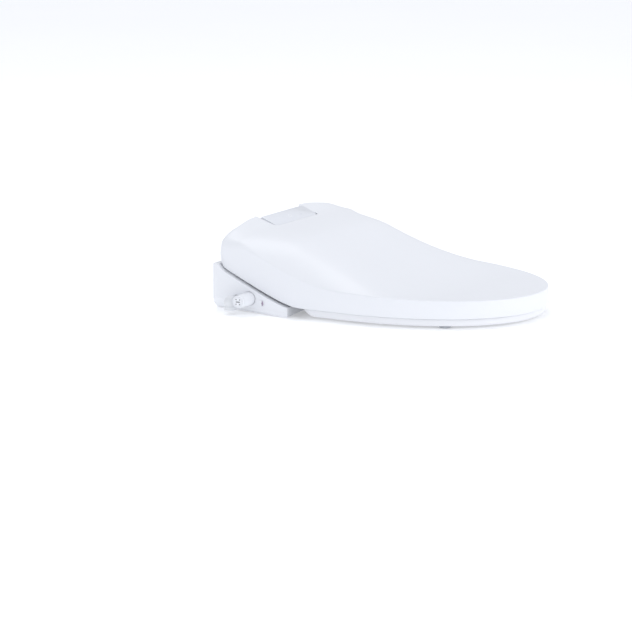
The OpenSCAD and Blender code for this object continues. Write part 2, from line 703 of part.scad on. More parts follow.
module seat_heater_foil() {
    color(brass) skin_rings([seat_ring(0.7, 0, -4.7, 2), seat_ring(0.7, 0, -5.3, 2),
        seat_ring(0.35, 0, -6.4, 2), seat_ring(0.35, 0, -5.8, 2)], true);
}
module seat_bumpers() {
    color(pale_grey) both_sides() {
        for (p = [[128, -372], [152, -222]]) translate([p[0], p[1], 0]) {
            cylinder(r = 8, h = seat_low_z);
            translate([0, 0, 0.5]) cylinder(r = 9.5, h = 2);
        }
    }
}
arm_profile = [[seat_rear_y, 36], [seat_rear_y, 50], [-104, 58], [-60, 84], [-20, 108],
    [4, 116], [6, 101], [-10, 96], [-52, 72], [-98, 44]];
module seat_hinge_arms() {
    color(white) both_sides() difference() {
        union() {
            profile_along_x(79, 91, arm_profile);
            at_hinge() along_x(79, 91, 9);
        }
        at_hinge() along_x(70, 95, shaft_r + 0.05);
    }
}

// ---- Lid ----
module lid_shell() {
    wall = lid_wall;
    m = len(lid_shares);
    color(white) skin_rings(concat(
        [for (i = [m - 1 : -1 : 0]) lid_inner_ring(lid_shares[i], 0)],
        [lid_ring(0, 1, 0), lid_ring(2, 0.5, 0), lid_ring(2, 0.12, 0), lid_ring(1.2, 0, 0),
         lid_ring(0, 0, 1.6), lid_low_ring(0), lid_low_ring(wall),
         lid_ring(wall, 0, wall + 1.6), lid_ring(wall + 1.4, 0.06, wall),
         lid_ring(wall, 0.5, wall), lid_ring(wall, 1, wall)],
        [for (i = [0 : m - 1]) lid_inner_ring(lid_shares[i], wall)]), false);
}
// Each lid bumper: x, y, height of its foot above the rim and its gap under the lid's curve
lid_bumper_places = [[120, -372, 34, 0.1], [138, -222, 35.3, 0.62]];
module lid_bumpers() {
    color(pale_grey) both_sides() for (p = lid_bumper_places) {
        slope_x = (top_z(p[0] + 3, p[1]) - top_z(p[0] - 3, p[1])) / 6;
        slope_y = (top_z(p[0], p[1] + 3) - top_z(p[0], p[1] - 3)) / 6;
        lean = -atan(slope_x);
        translate([p[0], p[1], 0]) difference() {
            translate([0, 0, p[2]]) cylinder(r = 6, h = 36);
            translate([0, 0, top_z(p[0], p[1]) - lid_wall - p[3]])
                rotate([atan(slope_y * cos(lean)), lean, 0]) block([-20, -20, 0], [20, 20, 60]);
        }
    }
}
module lid_hinge_ears() {
    color(white) both_sides() difference() {
        union() {
            at_hinge() along_x(71, 77, 8.6);
            profile_along_x(71, 77, [[4, 108], [1, 125.6], [10, 128.8], [17, 131.5], [17, 115],
                [19, 112], [20, 108]]);
            profile_along_x(74, 77, [[3, 112], [1, 127.2], [10, 130.4], [17, 133.1], [17, 112]]);
        }
        at_hinge() along_x(60, 95, shaft_r + 0.05);
    }
}

mounting_plate();
bolt_adjusters();
grip_pad();
base_casing();
upper_casing();
top_panel();
indicator_lens();
casing_screws();
inlet_body();
inlet_elbow();
inlet_washer();
cord_gland();
solenoid_valve();
valve_plunger();
plunger_spring();
flow_sensor();
heater_tank();
heater_element();
diverter_valve();
diverter_motor();
internal_hoses();
filter_cap();
filter_mesh();
cap_o_ring();
release_button();
button_spring();
nozzle_guide();
nozzle_wand();
nozzle_tip();
nozzle_rack();
nozzle_pinion();
nozzle_motor();
nozzle_door();
fan_housing();
dryer_motor();
dryer_impeller();
dryer_duct();
dryer_heater();
dryer_flap();
deodorizer_housing();
deodorizer_impeller();
deodorizer_cartridge();
control_board();
power_board();
night_light();
hinge_shafts();
seat_damper();
lid_damper();
seat_upper_shell();
seat_lower_shell();
seat_heater_foil();
seat_bumpers();
seat_hinge_arms();
lid_shell();
lid_bumpers();
lid_hinge_ears();
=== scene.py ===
import json
import math

import bmesh
import bpy
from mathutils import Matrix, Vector


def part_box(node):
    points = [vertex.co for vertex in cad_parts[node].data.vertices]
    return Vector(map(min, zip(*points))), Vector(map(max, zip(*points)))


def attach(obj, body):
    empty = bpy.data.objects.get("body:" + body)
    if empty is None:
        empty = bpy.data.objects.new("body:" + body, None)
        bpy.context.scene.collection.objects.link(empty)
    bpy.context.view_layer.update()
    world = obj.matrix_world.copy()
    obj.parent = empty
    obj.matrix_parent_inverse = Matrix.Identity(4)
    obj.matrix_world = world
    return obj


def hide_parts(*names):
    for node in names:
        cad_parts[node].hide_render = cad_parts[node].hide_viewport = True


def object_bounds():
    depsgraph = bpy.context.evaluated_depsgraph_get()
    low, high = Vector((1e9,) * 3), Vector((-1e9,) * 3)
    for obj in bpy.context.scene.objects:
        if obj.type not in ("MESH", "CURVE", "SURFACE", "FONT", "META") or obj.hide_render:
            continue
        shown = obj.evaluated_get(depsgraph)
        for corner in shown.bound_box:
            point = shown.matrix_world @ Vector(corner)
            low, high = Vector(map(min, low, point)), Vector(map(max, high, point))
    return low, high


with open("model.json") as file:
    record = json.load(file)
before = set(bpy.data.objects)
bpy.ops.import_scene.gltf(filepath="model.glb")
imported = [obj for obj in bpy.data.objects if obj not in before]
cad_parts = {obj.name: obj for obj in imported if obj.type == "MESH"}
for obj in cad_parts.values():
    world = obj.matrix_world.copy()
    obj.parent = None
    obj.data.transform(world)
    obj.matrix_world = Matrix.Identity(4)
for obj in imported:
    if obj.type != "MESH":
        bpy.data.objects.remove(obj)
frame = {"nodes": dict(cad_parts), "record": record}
cad_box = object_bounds()

MM = 0.001

# ---------------------------------------------------------------- camera, floor and light
AZIMUTH = math.radians(-59.15)
ELEVATION = math.radians(11.45)
TARGET = Vector((-0.16267, -0.14953, 0.0))
DISTANCE = 6.5524
LENS_MM = 227.1


def make_camera():
    back = Vector((math.sin(AZIMUTH) * math.cos(ELEVATION),
                   -math.cos(AZIMUTH) * math.cos(ELEVATION),
                   math.sin(ELEVATION)))
    data = bpy.data.cameras.new("camera")
    data.lens = LENS_MM
    data.sensor_width = 36.0
    data.clip_end = 50.0
    camera = bpy.data.objects.new("camera", data)
    bpy.context.collection.objects.link(camera)
    camera.location = TARGET + back * DISTANCE
    camera.rotation_euler = (-back).to_track_quat("-Z", "Y").to_euler()
    bpy.context.scene.camera = camera


def make_floor(material):
    half = 6.0
    mesh = bpy.data.meshes.new("floor")
    mesh.from_pydata([(-half, -half, 0), (half, -half, 0), (half, half, 0), (-half, half, 0)],
                     [], [(0, 1, 2, 3)])
    floor = bpy.data.objects.new("floor", mesh)
    bpy.context.collection.objects.link(floor)
    floor.location.z = cad_box[0][2] - 0.0004
    mesh.materials.append(material)


def make_light(name, azimuth, elevation, distance, size, power):
    a = math.radians(azimuth)
    e = math.radians(elevation)
    away = Vector((math.sin(a) * math.cos(e), -math.cos(a) * math.cos(e), math.sin(e)))
    data = bpy.data.lights.new(name, "AREA")
    data.size = size
    data.energy = power
    light = bpy.data.objects.new(name, data)
    bpy.context.collection.objects.link(light)
    centre = Vector((0.0, -0.2, 0.06))
    light.location = centre + away * distance
    light.rotation_euler = (-away).to_track_quat("-Z", "Y").to_euler()


def make_world(strength):
    bpy.context.scene.view_settings.view_transform = "Standard"
    world = bpy.data.worlds.new("studio")
    world.use_nodes = True
    background = world.node_tree.nodes["Background"]
    background.inputs["Color"].default_value = (0.93, 0.95, 1.0, 1.0)
    background.inputs["Strength"].default_value = strength
    bpy.context.scene.world = world


# ---------------------------------------------------------------- materials
class Shader:
    """A node material with a principled shader and helpers that add nodes to it."""

    def __init__(self, name, roughness, metallic=0.0, coat=0.0, transmission=0.0, sheen=0.0):
        self.material = bpy.data.materials.new(name)
        self.material.use_nodes = True
        self.nodes = self.material.node_tree.nodes
        self.links = self.material.node_tree.links
        self.surface = self.nodes["Principled BSDF"]
        self.surface.inputs["Roughness"].default_value = roughness
        self.surface.inputs["Metallic"].default_value = metallic
        self.surface.inputs["Coat Weight"].default_value = coat
        self.surface.inputs["Coat Roughness"].default_value = 0.08
        self.surface.inputs["Transmission Weight"].default_value = transmission
        self.surface.inputs["Sheen Weight"].default_value = sheen
        self.place = self.nodes.new("ShaderNodeTexCoord").outputs["Object"]

    def noise(self, scale, detail=4.0, stretch=(1.0, 1.0, 1.0)):
        mapping = self.nodes.new("ShaderNodeMapping")
        mapping.inputs["Scale"].default_value = stretch
        self.links.new(self.place, mapping.inputs["Vector"])
        noise = self.nodes.new("ShaderNodeTexNoise")
        noise.inputs["Scale"].default_value = scale
        noise.inputs["Detail"].default_value = detail
        self.links.new(mapping.outputs["Vector"], noise.inputs["Vector"])
        return noise.outputs["Fac"]

    def ramp(self, factor, stops):
        ramp = self.nodes.new("ShaderNodeValToRGB")
        elements = ramp.color_ramp.elements
        elements[0].position, elements[0].color = stops[0][0], (*stops[0][1], 1.0)
        elements[1].position, elements[1].color = stops[-1][0], (*stops[-1][1], 1.0)
        for position, colour in stops[1:-1]:
            elements.new(position).color = (*colour, 1.0)
        self.links.new(factor, ramp.inputs["Fac"])
        return ramp.outputs["Color"]

    def colour(self, output):
        self.links.new(output, self.surface.inputs["Base Color"])

    def roughness(self, factor, low, high):
        span = self.nodes.new("ShaderNodeMapRange")
        span.inputs["To Min"].default_value = low
        span.inputs["To Max"].default_value = high
        self.links.new(factor, span.inputs["Value"])
        self.links.new(span.outputs["Result"], self.surface.inputs["Roughness"])

    def bump(self, height, strength, depth):
        bump = self.nodes.new("ShaderNodeBump")
        bump.inputs["Strength"].default_value = strength
        bump.inputs["Distance"].default_value = depth
        self.links.new(height, bump.inputs["Height"])
        self.links.new(bump.outputs["Normal"], self.surface.inputs["Normal"])


def moulded(name, base, spread, rough, grain_scale=900.0, grain=0.04, coat=0.0):
    """Moulded plastic: faint colour drift, uneven gloss and a very fine surface grain."""
    shader = Shader(name, rough, coat=coat)
    shade = tuple(max(c - spread, 0.0) for c in base)
    shader.colour(shader.ramp(shader.noise(9.0, 3.0), [(0.3, shade), (0.7, base)]))
    shader.roughness(shader.noise(35.0, 5.0), rough * 0.85, rough * 1.2)
    shader.bump(shader.noise(grain_scale, 2.0), grain, 0.0002)
    return shader.material


def metal(name, base, rough, stretch):
    """Turned or brushed metal: fine lines across one direction and slight tarnish."""
    shader = Shader(name, rough, metallic=1.0)
    dull = tuple(c * 0.86 for c in base)
    shader.colour(shader.ramp(shader.noise(60.0, 6.0), [(0.35, dull), (0.65, base)]))
    lines = shader.noise(500.0, 3.0, stretch)
    shader.roughness(lines, rough * 0.7, rough * 1.4)
    shader.bump(lines, 0.12, 0.0002)
    return shader.material


def rubber(name, base, rough=0.62):
    shader = Shader(name, rough, sheen=0.15)
    worn = tuple(min(c * 1.25 + 0.01, 1.0) for c in base)
    shader.colour(shader.ramp(shader.noise(120.0, 6.0), [(0.4, base), (0.75, worn)]))
    shader.roughness(shader.noise(200.0, 3.0), rough * 0.9, min(rough * 1.2, 1.0))
    shader.bump(shader.noise(1500.0, 2.0), 0.25, 0.0002)
    return shader.material


def clear(name, base):
    shader = Shader(name, 0.05, transmission=0.85)
    tint = tuple(c * 0.94 for c in base)
    shader.colour(shader.ramp(shader.noise(40.0), [(0.3, tint), (0.7, base)]))
    shader.bump(shader.noise(300.0), 0.05, 0.0001)
    return shader.material


def board(name):
    """Circuit board: green solder mask over slightly paler traces."""
    shader = Shader(name, 0.35)
    brick = shader.nodes.new("ShaderNodeTexBrick")
    brick.inputs["Scale"].default_value = 260.0
    brick.inputs["Color1"].default_value = (0.015, 0.13, 0.05, 1.0)
    brick.inputs["Color2"].default_value = (0.02, 0.17, 0.07, 1.0)
    brick.inputs["Mortar"].default_value = (0.05, 0.27, 0.12, 1.0)
    shader.links.new(shader.place, brick.inputs["Vector"])
    shader.colour(brick.outputs["Color"])
    shader.bump(shader.noise(700.0), 0.1, 0.0002)
    return shader.material


def floor_material():
    shader = Shader("studio_floor", 0.7)
    shader.surface.inputs["Emission Color"].default_value = (1.0, 1.0, 1.0, 1.0)
    shader.surface.inputs["Emission Strength"].default_value = 0.2
    shader.colour(shader.ramp(shader.noise(3.0, 2.0), [(0.3, (0.955, 0.96, 0.97)), (0.7, (0.965, 0.97, 0.975))]))
    return shader.material


def make_materials():
    return {
        "white_plastic": moulded("gloss_white", (0.84, 0.855, 0.89), 0.006, 0.38, coat=0.08),
        "seat_plastic": moulded("seat_white", (0.85, 0.86, 0.89), 0.006, 0.3, coat=0.15),
        "soft_white": moulded("matte_white", (0.8, 0.805, 0.81), 0.02, 0.5, 700.0, 0.1),
        "panel_grey": moulded("panel_grey", (0.79, 0.81, 0.855), 0.008, 0.3, coat=0.15),
        "mark_white": moulded("mark_white", (0.92, 0.93, 0.95), 0.01, 0.35),
        "pale_plastic": moulded("pale_fitting", (0.76, 0.775, 0.8), 0.012, 0.3),
        # Painted shade: a mauve, darkened to stand in for the shade on the release button's side wall and in the
        # gap round it.
        "mauve_edge_shade": moulded("mauve_edge_shade", (0.36, 0.29, 0.38), 0.02, 0.35),
        # Painted shade: the dark of the filter cap's slot and dots.
        "slot_shade": moulded("slot_shade", (0.1, 0.1, 0.115), 0.02, 0.5, 600.0, 0.1),
        "dark_plastic": moulded("dark_plastic", (0.06, 0.062, 0.068), 0.02, 0.5, 600.0, 0.15),
        "blue_plastic": moulded("blue_plastic", (0.1, 0.16, 0.33), 0.02, 0.45),
        "ceramic": moulded("ceramic", (0.84, 0.82, 0.78), 0.03, 0.18, 300.0, 0.05, coat=0.4),
        "hose": moulded("silicone_hose", (0.6, 0.66, 0.7), 0.02, 0.3),
        "steel": metal("brushed_steel", (0.62, 0.63, 0.65), 0.3, (1.0, 12.0, 12.0)),
        "brass": metal("machined_brass", (0.7, 0.52, 0.22), 0.28, (12.0, 12.0, 1.0)),
        "copper": metal("resistance_wire", (0.66, 0.36, 0.2), 0.35, (1.0, 10.0, 10.0)),
        "rubber_grey": rubber("grey_rubber", (0.42, 0.44, 0.47)),
        "rubber_black": rubber("black_rubber", (0.02, 0.02, 0.022)),
        "clear_lens": clear("clear_lens", (0.82, 0.9, 0.97)),
        "board": board("circuit_board"),
    }


# ---------------------------------------------------------------- the lid's and the seat's shared formulas
# The same driving dimensions and formulas as the CAD's, in millimetres.
LID_HALF_W = 188.0
NOSE_Y = -475.0
NOSE_LEN = 274.0
NOSE_POWER = 2.11
SIDE_Y = NOSE_Y + NOSE_LEN
NOSE_Z = 45.4
SKIRT_Z = 16.7
LID_WALL = 2.6
LID_REAR_Y = 24.0
LID_CORNER_R = 11.0
SKIRT_REAR_H = 22.0
TOP_POWER = 6
NOTCH_HALF_W = 68.0
NOTCH_Y = -18.0
NOTCH_INNER_R = 8.0
NOTCH_REAR_R = 5.0
NOTCH_RISE = 17.0
NOTCH_WALL_H = 5.0


def ease(t):
    t = max(0.0, min(1.0, t))
    return t * t * (3 - 2 * t)


def soft_rise(t, bend, slope):
    return slope * (math.hypot(max(t, 0.0), bend) - bend)


def edge_z(y):
    return NOSE_Z + 0.0175 * (y - NOSE_Y) + soft_rise(min(y, -17.0) + 205, 150, 0.659)


def spine_z(y):
    return (NOSE_Z + soft_rise(y + 361, 146, 0.463) - soft_rise(y + 112, 30, 0.36)
            + soft_rise(y + 20, 15, 0.3))


def half_w(y):
    u = max(0.0, 1 - (y - NOSE_Y) / NOSE_LEN)
    return LID_HALF_W * max(1 - u ** NOSE_POWER, 0.0) ** (1 / NOSE_POWER)


def top_z(x, y):
    share = min(abs(x) / max(half_w(y), 1.0), 1.0)
    return edge_z(y) + (spine_z(y) - edge_z(y)) * (1 - share ** TOP_POWER)


def low_z(y):
    if y < 6.0:
        return SKIRT_Z + soft_rise(y + 135, 40, 0.48)
    return 96.6 - math.sqrt(max(32 * 32 - (y + 8) ** 2, 0.0))


def mirrored(half, also=()):
    """Closes a half outline that starts and ends on the middle line; also lists further x values."""
    flipped = (0, *also)
    return half + [tuple(-v if k in flipped else v for k, v in enumerate(p)) for p in reversed(half[1:-1])]


def normals(outline):
    """Outward normals in plan of a closed outline that runs anticlockwise from the nose."""
    result = []
    count = len(outline)
    for i in range(count):
        a = outline[i - 1]
        b = outline[(i + 1) % count]
        dx, dy = b[0] - a[0], b[1] - a[1]
        size = math.hypot(dx, dy) or 1.0
        result.append((dy / size, -dx / size))
    return result


def skin(name, rings, looped, cap=False, material=None, smooth_angle=40.0):
    """Joins rings of equal length into one mesh, in metres."""
    count = len(rings[0])
    verts = [(x * MM, y * MM, z * MM) for ring in rings for x, y, z in ring]
    faces = []
    steps = len(rings) if looped else len(rings) - 1
    for j in range(steps):
        k = (j + 1) % len(rings)
        for i in range(count):
            n = (i + 1) % count
            faces.append((j * count + i, j * count + n, k * count + n, k * count + i))
    if cap:
        for ring_index, flip in ((0, True), (len(rings) - 1, False)):
            ring = rings[ring_index]
            centre = [sum(p[axis] for p in ring) / count * MM for axis in range(3)]
            verts.append(centre)
            middle = len(verts) - 1
            start = ring_index * count
            for i in range(count):
                n = (i + 1) % count
                face = (start + i, start + n, middle)
                faces.append(face[::-1] if flip else face)
    mesh = bpy.data.meshes.new(name)
    mesh.from_pydata(verts, [], faces)
    mesh.validate()
    piece = bpy.data.objects.new(name, mesh)
    bpy.context.collection.objects.link(piece)
    tidy_normals(mesh)
    mesh.shade_smooth()
    mesh.set_sharp_from_angle(angle=math.radians(smooth_angle))
    if material:
        mesh.materials.append(material)
    return piece


def tidy_normals(mesh):
    work = bmesh.new()
    work.from_mesh(mesh)
    bmesh.ops.recalc_face_normals(work, faces=work.faces)
    work.to_mesh(mesh)
    work.free()


# ---------------------------------------------------------------- lid
LID_MID = (0.0, -230.0)
INNER_SHARE = 0.93
INNER_Y = -24.0
SIDE_REAR_Y = -14.0
LOBE_INNER_X = 92.0


def inner_of(x, y):
    """The line on which the lid's crown starts, a fixed share of the way in from the outline."""
    return x * INNER_SHARE, min(LID_MID[1] + (y - LID_MID[1]) * INNER_SHARE, INNER_Y)


def lobe_inner(t):
    """Behind the sides the inner line turns across towards the notch."""
    x, y = inner_of(LID_HALF_W, SIDE_REAR_Y)
    return x + (LOBE_INNER_X - x) * t, y + (INNER_Y - y) * t


def lid_half_outline():
    """[x, y, height of the wall's lower edge, its inward lean, x and y of the inner line]."""
    half = []
    front = 110
    for i in range(front + 1):
        f = math.pi / 2 * i / front
        x = LID_HALF_W * math.sin(f) ** (2 / NOSE_POWER)
        y = SIDE_Y - NOSE_LEN * max(math.cos(f), 0.0) ** (2 / NOSE_POWER)
        half.append((x, y, low_z(y), 0.0, *inner_of(x, y)))
    sides = 40
    for i in range(1, sides + 1):
        y = SIDE_Y + (SIDE_REAR_Y - SIDE_Y) * i / sides
        half.append((LID_HALF_W, y, low_z(y), 0.0, *inner_of(LID_HALF_W, y)))
    lobe = []
    lobe_x = LID_HALF_W - LID_CORNER_R
    lobe_y = LID_REAR_Y - LID_CORNER_R
    side_end = 12
    for i in range(1, side_end + 1):
        y = SIDE_REAR_Y + (lobe_y - SIDE_REAR_Y) * i / side_end
        lobe.append((LID_HALF_W, y, low_z(y), 0.0))
    corner = 20
    for i in range(1, corner + 1):
        f = math.pi / 2 * i / corner
        x = lobe_x + LID_CORNER_R * math.cos(f)
        y = lobe_y + LID_CORNER_R * math.sin(f)
        m = ease(i / corner)
        lobe.append((x, y, low_z(y) * (1 - m) + (top_z(x, y) - SKIRT_REAR_H) * m, 0.0))
    rear_end = NOTCH_HALF_W + NOTCH_REAR_R
    rear = 28
    for i in range(1, rear + 1):
        x = lobe_x - (lobe_x - rear_end) * i / rear
        lobe.append((x, LID_REAR_Y, top_z(x, LID_REAR_Y) - SKIRT_REAR_H, 0.0))
    half += [(*p, *lobe_inner((i + 1) / len(lobe))) for i, p in enumerate(lobe)]
    notch = []
    turn = 8
    for i in range(1, turn + 1):
        f = math.pi / 2 * i / turn
        x = rear_end - NOTCH_REAR_R * math.sin(f)
        y = LID_REAR_Y - NOTCH_REAR_R + NOTCH_REAR_R * math.cos(f)
        notch.append((x, y, top_z(x, y) - SKIRT_REAR_H, 0.0))
    y_from = LID_REAR_Y - NOTCH_REAR_R
    y_to = NOTCH_Y + NOTCH_INNER_R
    walls = 12
    for i in range(1, walls + 1):
        y = y_from + (y_to - y_from) * i / walls
        t = ease((LID_REAR_Y - y - 2) / 12)
        notch.append((NOTCH_HALF_W, y, top_z(NOTCH_HALF_W, y) - SKIRT_REAR_H + NOTCH_RISE * t, 1.5 * t))
    for i in range(1, turn + 1):
        f = math.pi / 2 * i / turn
        x = NOTCH_HALF_W - NOTCH_INNER_R + NOTCH_INNER_R * math.cos(f)
        y = y_to - NOTCH_INNER_R * math.sin(f)
        notch.append((x, y, top_z(x, y) - NOTCH_WALL_H, 1.5 + 1.5 * i / turn))
    inner_x = NOTCH_HALF_W - 4
    half += [(*p, LOBE_INNER_X + (inner_x - LOBE_INNER_X) * (i + 1) / len(notch), INNER_Y)
             for i, p in enumerate(notch)]
    front_edge = 12
    for i in range(1, front_edge + 1):
        left = 1 - i / front_edge
        x = (NOTCH_HALF_W - NOTCH_INNER_R) * left
        half.append((x, NOTCH_Y, top_z(x, NOTCH_Y) - NOTCH_WALL_H, 3.0, inner_x * left, INNER_Y))
    return half


def beside_notch(x, y):
    return abs(x) < NOTCH_HALF_W + 5.5 and y > NOTCH_Y - 1


def crease_radius(x, y):
    """The edge between top and skirt is crisp in front and soft round the rear corners."""
    if beside_notch(x, y):
        return 1.0
    return 1.6 + 10.0 * ease((y + 60) / 70) * ease((abs(x) - 80) / 60)


def make_lid(material):
    outline = mirrored(lid_half_outline(), (4,))
    out = normals(outline)

    def ring(radius_share, drop_share, extra, drop, share):
        """Moved in by a share of the crease radius, then part of the way to the inner line."""
        points = []
        for (x, y, _low, _lean, ix, iy), (nx, ny) in zip(outline, out):
            radius = crease_radius(x, y)
            taper = 0.0 if beside_notch(x, y) else 1.5
            by = extra + taper + radius * radius_share
            px = (x - nx * by) * (1 - share) + ix * share
            py = (y - ny * by) * (1 - share) + iy * share
            points.append((px, py, top_z(px, py) - drop - radius * drop_share))
        return points

    def inner_ring(share, drop):
        points = []
        for p in outline:
            px = LID_MID[0] + (p[4] - LID_MID[0]) * share
            py = LID_MID[1] + (p[5] - LID_MID[1]) * share
            points.append((px, py, top_z(px, py) - drop))
        return points

    def wall_ring(by, height):
        return [(x - nx * (by + lean), y - ny * (by + lean), low + height)
                for (x, y, low, lean, _ix, _iy), (nx, ny) in zip(outline, out)]

    arc = 7
    top = [ring(1 - math.cos(math.pi / 2 * j / arc), 1 - math.sin(math.pi / 2 * j / arc), 0, 0, 0)
           for j in range(arc + 1)]
    top += [ring(1, 0, 0, 0, t) for t in (0.1, 0.25, 0.4, 0.55, 0.7, 0.85, 1.0)]
    inner_rings = 40
    shares = [1 - (k / inner_rings) ** 1.15 * 0.985 for k in range(1, inner_rings + 1)]
    top += [inner_ring(share, 0.0) for share in shares]
    outside = [wall_ring(0.3, 0.25), wall_ring(0.0, 0.9)]
    inside = [wall_ring(0.8, 0.0), wall_ring(LID_WALL - 0.8, 0.0), wall_ring(LID_WALL, 0.8)]
    under = [ring(0.4, 0.7, LID_WALL, LID_WALL, 0), ring(1, 0, LID_WALL, LID_WALL, 0.02)]
    under += [ring(1, 0, LID_WALL, LID_WALL, t) for t in (0.3, 0.65, 1.0)]
    under += [inner_ring(share, LID_WALL) for share in shares[::2]]
    rings = list(reversed(top)) + list(reversed(outside)) + inside + under
    lid = skin("lid", rings, looped=False, cap=True, material=material, smooth_angle=50.0)
    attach(lid, "lid")
    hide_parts("lid_shell")


# ---------------------------------------------------------------- seat
SEAT_INSET = 5.0
SEAT_HALF_W = LID_HALF_W - SEAT_INSET
SEAT_REAR_Y = -118.0
SEAT_MID = (0.0, -290.0)
HOLE_HALF_W = 106.0
HOLE_HALF_L = 133.0
HOLE_POWER = 2.3
SEAT_CORNER_X = 36.0
SEAT_CORNER_Y = 38.0
SEAT_WALL = 2.8


def seat_half_outline():
    half = []
    front = 84
    for i in range(front + 1):
        f = math.pi / 2 * i / front
        half.append((SEAT_HALF_W * math.sin(f) ** (2 / NOSE_POWER),
                     SIDE_Y - (NOSE_LEN - SEAT_INSET) * max(math.cos(f), 0.0) ** (2 / NOSE_POWER)))
    sides = 8
    for i in range(1, sides + 1):
        half.append((SEAT_HALF_W, SIDE_Y + (SEAT_REAR_Y - SEAT_CORNER_Y - SIDE_Y) * i / sides))
    corner = 20
    for i in range(1, corner + 1):
        f = math.pi / 2 * i / corner
        half.append((SEAT_HALF_W - SEAT_CORNER_X + SEAT_CORNER_X * math.cos(f),
                     SEAT_REAR_Y - SEAT_CORNER_Y + SEAT_CORNER_Y * math.sin(f)))
    rear = 30
    for i in range(1, rear + 1):
        half.append(((SEAT_HALF_W - SEAT_CORNER_X) * (1 - i / rear), SEAT_REAR_Y))
    return half


def hole_point(x, y):
    dx, dy = x - SEAT_MID[0], y - SEAT_MID[1]
    k = ((abs(dx) / HOLE_HALF_W) ** HOLE_POWER + (abs(dy) / HOLE_HALF_L) ** HOLE_POWER) ** (1 / HOLE_POWER)
    return SEAT_MID[0] + dx / k, SEAT_MID[1] + dy / k


def seat_bottom(x, y):
    bridge = ease((y + 185) / 35) * (1 - ease((abs(x) - 45) / 40))
    return 4.0 + max(34 * bridge, 11 * ease((y + 158) / 38))


def seat_top(x, y):
    return (34.0 + 0.0016 * max(y + 230, 0.0) ** 2
            + 12 * ease((y + 200) / 60) * (1 - ease((abs(x) - 60) / 60)))


def seat_parting(x, y):
    return seat_bottom(x, y) + 12.0


def seat_ring(outline, share, out, height, level):
    ring = []
    for x, y in outline:
        hx, hy = hole_point(x, y)
        size = math.hypot(x - hx, y - hy)
        ux, uy = (x - hx) / size, (y - hy) / size
        ring.append((hx + (x - hx) * share + ux * out, hy + (y - hy) * share + uy * out,
                     height + level(x, y)))
    return ring


def round_edge(outline, share, out, height, level, radius_out, radius_up, out_sign, up_sign, rings=6):
    """A quarter turn from an upright wall to a level face, as rings of the seat."""
    result = []
    for j in range(rings + 1):
        f = math.pi / 2 * j / rings
        result.append(seat_ring(outline, share, out - out_sign * radius_out * (1 - math.cos(f)),
                                height - up_sign * radius_up * (1 - math.sin(f)), level))
    return result


def make_seat(material):
    outline = mirrored(seat_half_outline())
    wall = SEAT_WALL
    upper = [seat_ring(outline, 1, -0.5, 0.15, seat_parting), seat_ring(outline, 1, 0, 0.6, seat_parting)]
    upper += round_edge(outline, 1, 0, 0, seat_top, 12, 9, 1, 1)
    upper += [seat_ring(outline, s, 0, -2.4 * ease((0.9 - s) / 0.6), seat_top)
              for s in (0.8, 0.7, 0.6, 0.5, 0.4, 0.3)]
    upper += list(reversed(round_edge(outline, 0, 0, -2.4, seat_top, 11, 10, -1, 1)))
    upper += [seat_ring(outline, 0, 0, 0.6, seat_parting), seat_ring(outline, 0, 0.5, 0.15, seat_parting)]
    upper += [seat_ring(outline, 0, wall, 0.15, seat_parting), seat_ring(outline, 0, wall, -16, seat_top),
              seat_ring(outline, 0, 12, -6.4, seat_top), seat_ring(outline, 0.5, 0, -4.8, seat_top),
              seat_ring(outline, 1, -12, -4, seat_top), seat_ring(outline, 1, -wall, -13, seat_top),
              seat_ring(outline, 1, -wall, 0.15, seat_parting)]
    top = skin("seat_top", upper, looped=True, material=material)
    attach(top, "seat")
    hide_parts("seat_upper_shell")
    lower = [seat_ring(outline, 1, -0.5, -0.15, seat_parting), seat_ring(outline, 1, 0, -0.6, seat_parting)]
    lower += round_edge(outline, 1, 0, 0, seat_bottom, 3.5, 3.5, 1, -1)
    lower += list(reversed(round_edge(outline, 0, 0, 0, seat_bottom, 3, 3, -1, -1)))
    lower += [seat_ring(outline, 0, 0, -0.6, seat_parting), seat_ring(outline, 0, 0.5, -0.15, seat_parting),
              seat_ring(outline, 0, wall, -0.15, seat_parting), seat_ring(outline, 0, wall, 3.5, seat_bottom),
              seat_ring(outline, 1, -wall, 3.5, seat_bottom), seat_ring(outline, 1, -wall, -0.15, seat_parting)]
    base = skin("seat_base", lower, looped=True, material=material)
    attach(base, "seat")
    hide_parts("seat_lower_shell")


# ---------------------------------------------------------------- the top panel and its mark
def make_panel(materials):
    low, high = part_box("top_panel")
    half = high[0] / MM - 0.5
    y0, y1 = low[1] / MM, 15.0
    z0, z1 = 124.7, 137.2
    slope = (z1 - z0) / (y1 - y0)
    corner = 8.0
    steps = 10
    outline = []
    for i in range(steps + 1):
        f = math.pi / 2 * i / steps
        outline.append((half - corner + corner * math.sin(f), y0 + corner - corner * math.cos(f)))
    outline.append((half, y1 - 1.0))
    outline.append((half - 1.0, y1))
    full = outline + [(-x, y) for x, y in reversed(outline)]
    out = normals(full)

    def ring(inset, drop):
        return [(x - nx * inset, y - ny * inset, z0 + slope * (y - ny * inset - y0) - drop)
                for (x, y), (nx, ny) in zip(full, out)]

    rings = [ring(0.0, 1.8), ring(0.0, 0.5), ring(0.15, 0.15), ring(0.5, 0.0)]
    panel = skin("top_window", rings, looped=False, cap=True, material=materials["panel_grey"])
    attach(panel, "main_unit")
    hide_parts("top_panel")
    # A plain ring, printed on the panel
    turns = 40
    rings = []
    for radius, lift in ((2.3, 0.0), (2.3, 0.12), (3.1, 0.12), (3.1, 0.0)):
        ring_points = []
        for i in range(turns):
            g = 2 * math.pi * i / turns
            x = radius * math.cos(g)
            y = -1.0 + radius * math.sin(g)
            ring_points.append((x, y, z0 + slope * (y - y0) + lift - 0.02))
        rings.append(ring_points)
    mark = skin("panel_mark", rings, looped=True, material=materials["mark_white"])
    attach(mark, "main_unit")
